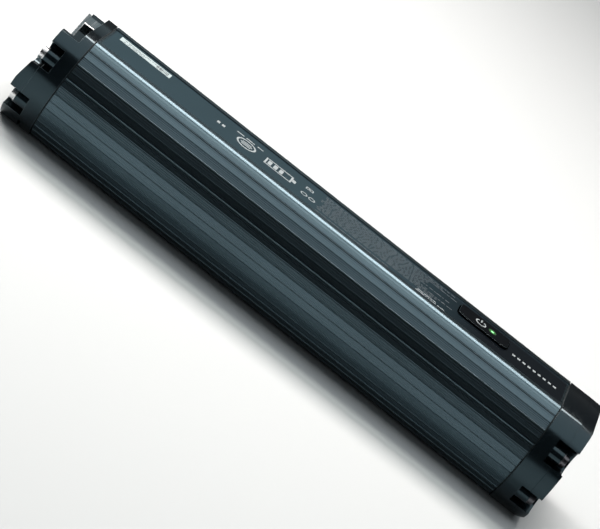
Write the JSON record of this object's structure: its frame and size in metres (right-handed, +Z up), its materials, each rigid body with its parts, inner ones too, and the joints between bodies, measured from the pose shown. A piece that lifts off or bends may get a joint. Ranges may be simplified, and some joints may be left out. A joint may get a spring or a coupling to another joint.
{
  "type": "battery pack",
  "caption": "In-tube e-bike battery pack: ribbed black aluminium sleeve, bolted plastic end caps, a latch pocket, a recessed terminal socket and a sprung power button on its flat label face.",
  "frame": {"origin": "centre of the footprint, on the surface that the pack lies on", "axes": "+X along the pack towards its connector end, +Z up out of the label face, +Y across"},
  "size_m": [0.371, 0.087, 0.0679],
  "materials": {
    "anodised_sleeve": "black anodised extrusion, satin",
    "cap_plastic": "glass-filled nylon, fine grain",
    "cover_plastic": "glass-filled nylon, smoother grain",
    "plated_steel": "zinc plated, satin",
    "bright_steel": "stainless, satin",
    "black_steel": "black zinc",
    "seal_rubber": "matt silicone",
    "terminal_plastic": "moulded insulator",
    "plated_brass": "gold plated",
    "label_film": "printed polyester film",
    "sticker_paper": "satin label stock",
    "button_plastic": "soft-touch moulding",
    "status_light": "clear green light guide",
    "circuit_board": "green solder mask",
    "insulation_film": "amber film",
    "insulation_paper": "fish paper",
    "nickel": "nickel strip",
    "holder_plastic": "moulded frame",
    "foam": "closed-cell foam",
    "chip_plastic": "epoxy package",
    "red_wire": "silicone wire",
    "black_wire": "silicone wire",
    "bare_aluminium": "bare",
    "connector_plastic": "natural nylon",
    "cell_can": "shrink-sleeved cell"
  },
  "bodies": {
    "pack": {"balance_harness": "insulation_film", "bms_board": "circuit_board", "bms_capacitors": "bare_aluminium", "bms_controller_chips": "chip_plastic", "bms_fuse": "chip_plastic", "bms_heat_spreader": "bare_aluminium", "bms_shunt": "nickel", "bms_transistors": "chip_plastic", "board_carrier": "holder_plastic", "board_screws": "bright_steel", "board_standoffs": "plated_brass", "button_bezel": "button_plastic", "button_gasket": "seal_rubber", "cell_column_1": "cell_can", "cell_column_2": "cell_can", "cell_column_3": "cell_can", "cell_column_4": "cell_can", "cell_holders": "holder_plastic", "cell_insulator_rings": "insulation_paper", "cell_links": "nickel", "column_insulators": "insulation_paper", "connector_cap_body": "cap_plastic", "connector_cap_cover": "cover_plastic", "connector_end_gasket": "seal_rubber", "connector_end_screws": "black_steel", "connector_end_washers": "black_steel", "cover_screws": "black_steel", "discharge_leads": "red_wire", "dome_switch": "bright_steel", "foam_pads": "foam", "harness_connector": "connector_plastic", "housing_sleeve": "anodised_sleeve", "insulation_sheet_bottom": "insulation_paper", "insulation_sheet_top": "insulation_paper", "label_film": "label_film", "lock_cap_body": "cap_plastic", "lock_cap_cover": "cover_plastic", "lock_end_gasket": "seal_rubber", "lock_end_screws": "bright_steel", "lock_end_washers": "bright_steel", "negative_lead": "black_wire", "positive_lead": "red_wire", "power_terminals": "plated_brass", "serial_sticker": "sticker_paper", "signal_terminals": "plated_brass", "status_led": "status_light", "strike_plate": "plated_steel", "switch_board": "circuit_board", "switch_cable": "insulation_film", "terminal_block": "terminal_plastic", "terminal_seal": "seal_rubber", "thermistors": "chip_plastic", "vent_plug": "cover_plastic"},
    "button": {"power_button": "button_plastic", "status_light_lens": "status_light"}
  },
  "joints": [
    {"name": "power_button_press", "type": "slide", "parent": "pack", "child": "button", "axis": [0, 0, -1], "range_m": [0, 0.0006], "stiffness_N_per_m": 3000}
  ]
}
